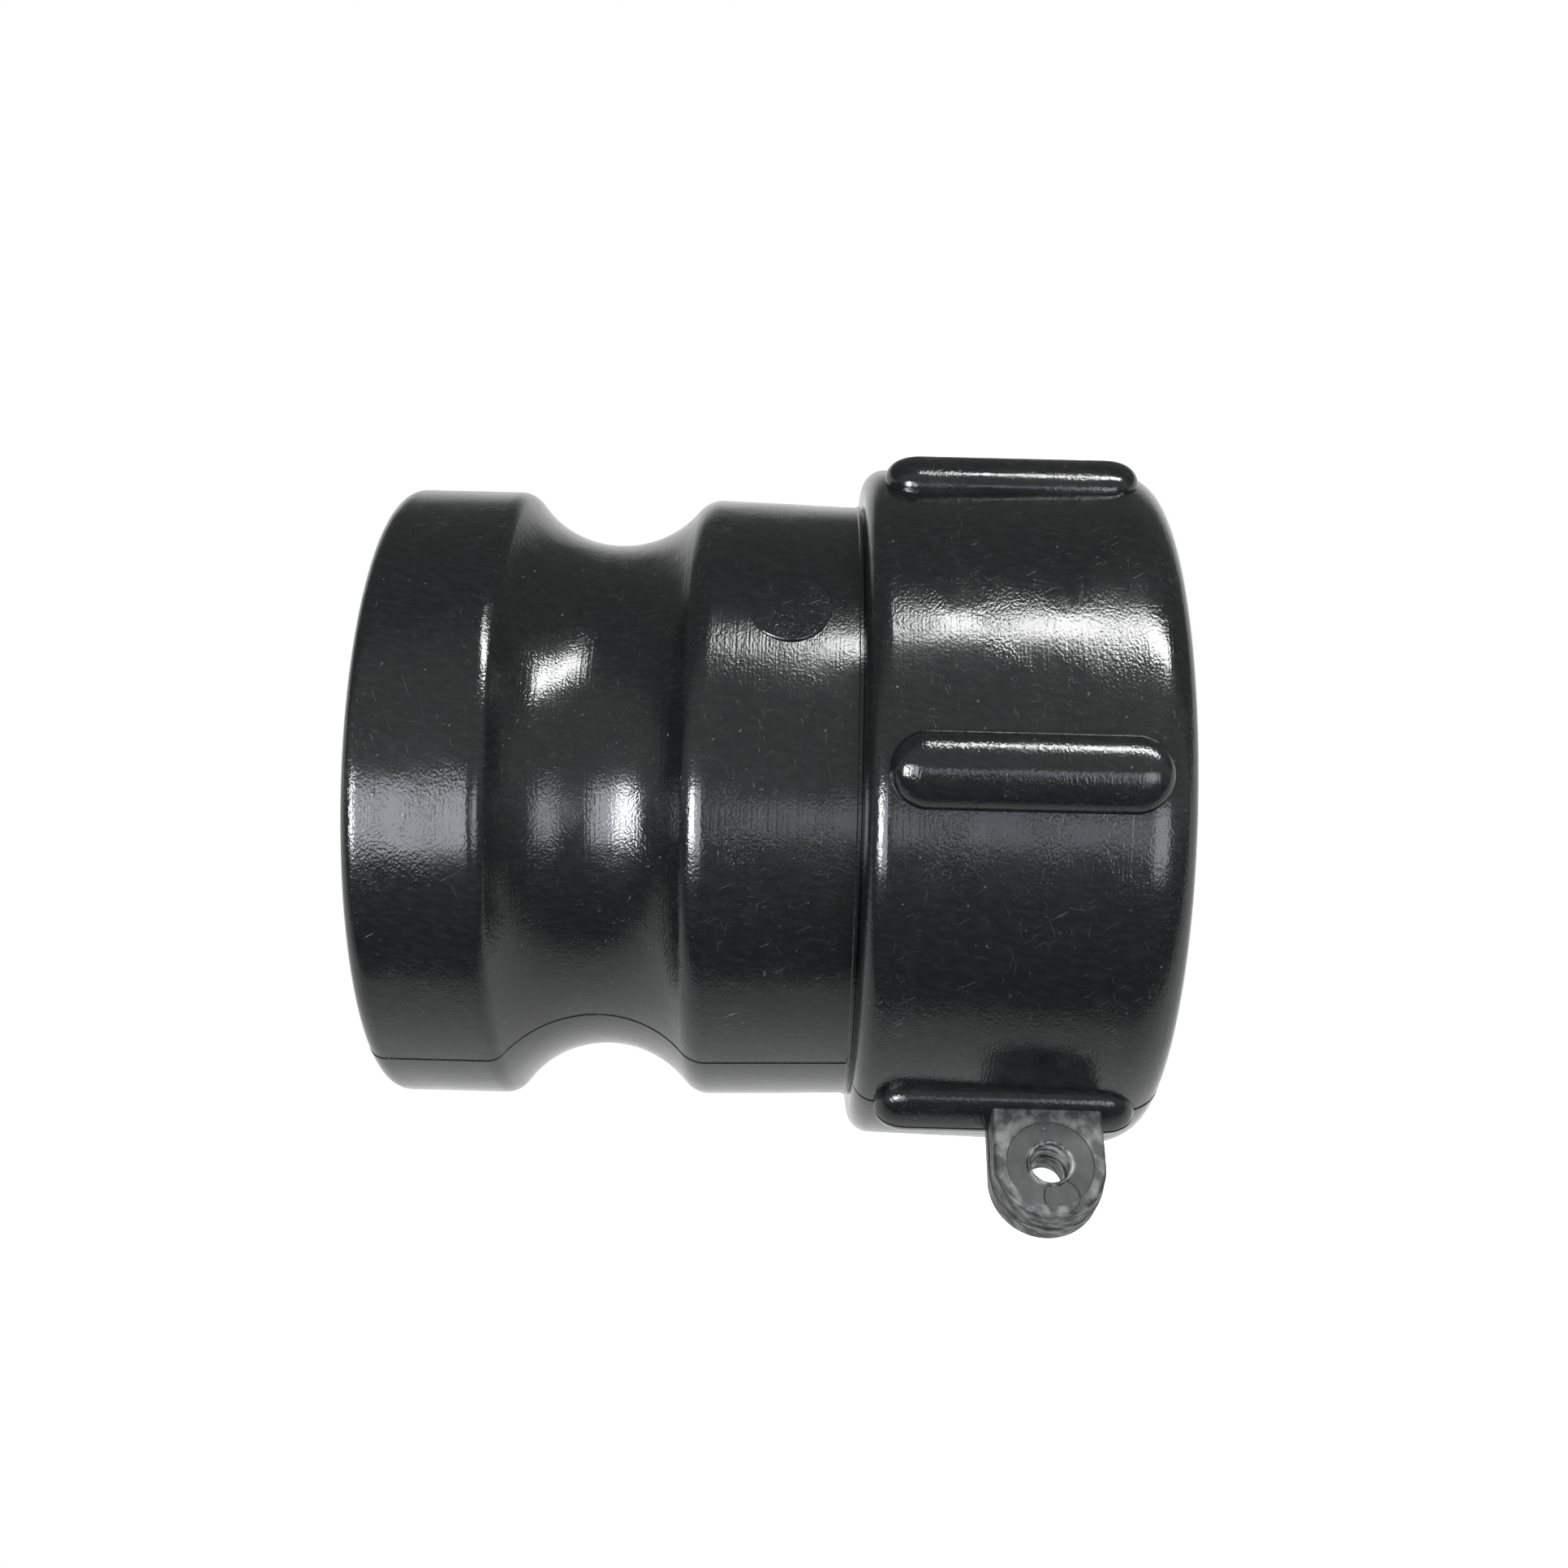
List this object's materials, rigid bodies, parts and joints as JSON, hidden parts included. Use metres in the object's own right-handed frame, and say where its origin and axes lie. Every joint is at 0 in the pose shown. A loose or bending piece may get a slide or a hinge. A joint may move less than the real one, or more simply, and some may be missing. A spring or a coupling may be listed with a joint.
{
  "type": "camlock adapter",
  "caption": "Camlock adapter: a cam-grooved plastic spigot with a ribbed, internally threaded collar, a tether lug and a flat gasket.",
  "frame": {"origin": "on the bore axis, in the plane of the collar's mouth, which the part stands on", "axes": "+Z along the bore, out of the nose of the spigot; the tether lug is on -X, and Y is across the mould's parting plane"},
  "size_m": [0.0835, 0.07, 0.0754],
  "materials": {
    "body_polypropylene": "satin black moulded polypropylene, lightly scuffed",
    "gasket_rubber": "matt black EPDM sheet rubber"
  },
  "bodies": {
    "root": {"spigot_nose": "body_polypropylene", "cam_groove_neck": "body_polypropylene", "spigot_barrel": "body_polypropylene", "collar_shoulder": "body_polypropylene", "collar_skirt": "body_polypropylene", "buttress_thread": "body_polypropylene", "grip_rib_1": "body_polypropylene", "grip_rib_2": "body_polypropylene", "grip_rib_3": "body_polypropylene", "grip_rib_4": "body_polypropylene", "grip_rib_5": "body_polypropylene", "grip_rib_6": "body_polypropylene", "tether_lug": "body_polypropylene", "flat_gasket": "gasket_rubber"}
  },
  "joints": []
}
